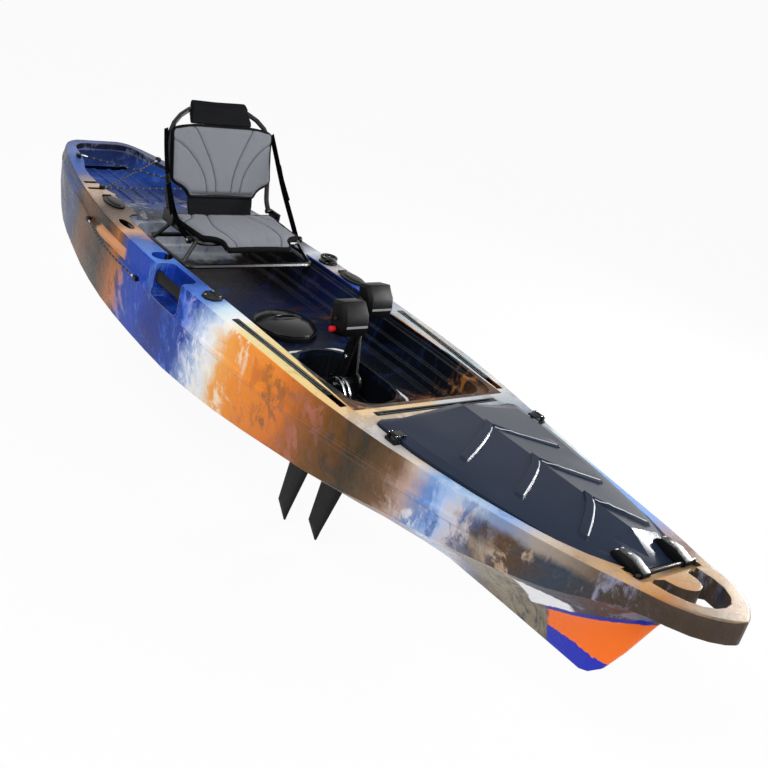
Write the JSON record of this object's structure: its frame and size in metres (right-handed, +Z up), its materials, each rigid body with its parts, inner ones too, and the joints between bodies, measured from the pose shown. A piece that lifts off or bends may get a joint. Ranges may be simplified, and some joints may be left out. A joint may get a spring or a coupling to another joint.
{
  "type": "pedal kayak",
  "caption": "Sit-on-top pedal kayak in swirled plastic with folding mesh seat, twin swinging fins, bow hatch, rudder, gear tracks and a rear tank well.",
  "frame": {"origin": "on the bottom of the keel, amidships", "axes": "+X to the bow, +Y to port, +Z up"},
  "size_m": [4.341, 0.9292, 1.4616],
  "materials": {
    "hull_plastic": "satin rotomoulded plastic swirled in blue, orange, olive and white",
    "lid_plastic": "fine grained satin plastic",
    "black_plastic": "satin moulded plastic",
    "satin_black_metal": "satin black coating",
    "black_rubber": "matte rubber",
    "black_cord": "woven cover over an elastic core",
    "bare_metal": "brushed",
    "blade_plastic": "matte flexible plastic",
    "red_plastic": "gloss moulded plastic",
    "seat_cloth": "woven polyester mesh with black binding",
    "black_webbing": "woven webbing"
  },
  "bodies": {
    "boat": {"hull": "hull_plastic", "accessory_mount_cap": "black_plastic", "steering_plate": "black_plastic", "hatch_hinge_rod": "black_plastic", "hatch_latch_base_starboard": "black_plastic", "hatch_latch_base_port": "black_plastic", "floor_hatch_ring": "black_plastic", "rudder_bracket": "black_plastic", "drive_mount_plate": "black_plastic", "drive_spine": "black_plastic", "seat_corner_knob_starboard": "black_plastic", "seat_corner_knob_port": "black_plastic", "paddle_keeper_eye_rear_starboard": "black_plastic", "paddle_keeper_eye_rear_port": "black_plastic", "paddle_keeper_eye_front_starboard": "black_plastic", "paddle_keeper_eye_front_port": "black_plastic", "bungee_eye_rear_starboard": "black_plastic", "bungee_eye_rear_port": "black_plastic", "bungee_eye_front_starboard": "black_plastic", "bungee_eye_front_port": "black_plastic", "gear_track_starboard": "satin_black_metal", "gear_track_port": "satin_black_metal", "crossbeam_track": "satin_black_metal", "seat_base_frame": "satin_black_metal", "seat_pan_frame": "satin_black_metal", "carry_handle_starboard": "black_rubber", "carry_handle_port": "black_rubber", "bow_hatch_gasket": "black_rubber", "paddle_keeper_cord_starboard": "black_cord", "paddle_keeper_cord_port": "black_cord", "tank_bungee_cord": "black_cord", "rudder_pin": "bare_metal", "crank_axle": "bare_metal", "seat_pad": "seat_cloth", "seat_strap_starboard": "black_webbing", "seat_strap_port": "black_webbing"},
    "bow_lid": {"bow_hatch_lid": "lid_plastic", "hatch_hinge_bracket_starboard": "black_plastic", "hatch_hinge_bracket_port": "black_plastic"},
    "latch_starboard": {"hatch_latch_lever_starboard": "black_plastic"},
    "latch_port": {"hatch_latch_lever_port": "black_plastic"},
    "floor_lid": {"floor_hatch_lid": "black_plastic"},
    "steering": {"steering_knob": "black_plastic"},
    "rudder": {"rudder_blade": "blade_plastic"},
    "rod_cap_starboard": {"rod_holder_cap_starboard": "black_plastic"},
    "rod_cap_port": {"rod_holder_cap_port": "black_plastic"},
    "crank_starboard": {"crank_arm_starboard": "satin_black_metal"},
    "crank_port": {"crank_arm_port": "satin_black_metal"},
    "pedal_body_starboard": {"pedal_starboard": "black_plastic"},
    "pedal_body_port": {"pedal_port": "black_plastic"},
    "pin_starboard": {"pedal_pin_starboard": "red_plastic"},
    "pin_port": {"pedal_pin_port": "red_plastic"},
    "rear_fin": {"mast_rear": "bare_metal", "fin_rear": "blade_plastic"},
    "front_fin": {"mast_front": "bare_metal", "fin_front": "blade_plastic"},
    "seat_back": {"seat_back_frame": "satin_black_metal", "back_pad": "seat_cloth", "head_panel": "black_webbing", "lumbar_panel": "black_webbing"}
  },
  "joints": [
    {"name": "bow_lid_hinge", "type": "hinge", "parent": "boat", "child": "bow_lid", "pos_m": [1.804, 0, 0.482], "axis": [0, 1, 0], "range_deg": [0, 100]},
    {"name": "latch_starboard_flip", "type": "hinge", "parent": "boat", "child": "latch_starboard", "pos_m": [0.921, -0.3424, 0.47824], "axis": [1, 0, 0], "range_deg": [0, 110]},
    {"name": "latch_port_flip", "type": "hinge", "parent": "boat", "child": "latch_port", "pos_m": [0.921, 0.3424, 0.47824], "axis": [-1, 0, 0], "range_deg": [0, 110]},
    {"name": "floor_lid_lift", "type": "slide", "parent": "boat", "child": "floor_lid", "axis": [0, 0, 1], "range_m": [0, 0.12]},
    {"name": "rudder_yaw", "type": "hinge", "parent": "boat", "child": "rudder", "pos_m": [-2.128, 0, 0.377], "axis": [0, 0, 1], "range_deg": [-35, 35]},
    {"name": "steering_turn", "type": "hinge", "parent": "boat", "child": "steering", "pos_m": [-0.502, 0.393, 0.484], "axis": [0, 0, 1], "range_deg": [-60, 60]},
    {"name": "rod_cap_starboard_flip", "type": "hinge", "parent": "boat", "child": "rod_cap_starboard", "pos_m": [-1.27692, -0.31, 0.48549], "axis": [0, -1, 0], "range_deg": [0, 110]},
    {"name": "rod_cap_port_flip", "type": "hinge", "parent": "boat", "child": "rod_cap_port", "pos_m": [-0.387, 0.39, 0.4816], "axis": [0, -1, 0], "range_deg": [0, 110]},
    {"name": "crank_starboard_swing", "type": "hinge", "parent": "boat", "child": "crank_starboard", "pos_m": [0.24, -0.036, 0.285], "axis": [0, 1, 0], "range_deg": [-35, 35]},
    {"name": "crank_port_swing", "type": "hinge", "parent": "boat", "child": "crank_port", "pos_m": [0.24, 0.036, 0.285], "axis": [0, 1, 0], "range_deg": [-35, 35]},
    {"name": "rear_fin_sweep", "type": "hinge", "parent": "boat", "child": "rear_fin", "pos_m": [0.178, 0, -0.026], "axis": [1, 0, 0], "range_deg": [-78, 78]},
    {"name": "front_fin_sweep", "type": "hinge", "parent": "boat", "child": "front_fin", "pos_m": [0.396, 0, -0.026], "axis": [1, 0, 0], "range_deg": [-78, 78]},
    {"name": "pedal_starboard_tilt", "type": "hinge", "parent": "crank_starboard", "child": "pedal_body_starboard", "pos_m": [0.30757, -0.051, 0.6029], "axis": [0, 1, 0], "range_deg": [-40, 40]},
    {"name": "pedal_port_tilt", "type": "hinge", "parent": "crank_port", "child": "pedal_body_port", "pos_m": [0.17243, 0.051, 0.6029], "axis": [0, 1, 0], "range_deg": [-40, 40]},
    {"name": "pin_starboard_pull", "type": "slide", "parent": "pedal_body_starboard", "child": "pin_starboard", "axis": [0, -1, 0], "range_m": [0, 0.012]},
    {"name": "pin_port_pull", "type": "slide", "parent": "pedal_body_port", "child": "pin_port", "axis": [0, 1, 0], "range_m": [0, 0.012]},
    {"name": "seat_back_fold", "type": "hinge", "parent": "boat", "child": "seat_back", "pos_m": [-0.825, 0, 0.592], "axis": [0, 1, 0], "range_deg": [0, 80], "deforming": ["seat_strap_starboard", "seat_strap_port"]}
  ],
  "couplings": [
    {"joint": "steering_turn", "follows": "rudder_yaw", "ratio": 1.714},
    {"joint": "crank_port_swing", "follows": "crank_starboard_swing", "ratio": -1},
    {"joint": "rear_fin_sweep", "follows": "crank_starboard_swing", "ratio": 2.2},
    {"joint": "front_fin_sweep", "follows": "crank_starboard_swing", "ratio": -2.2}
  ]
}
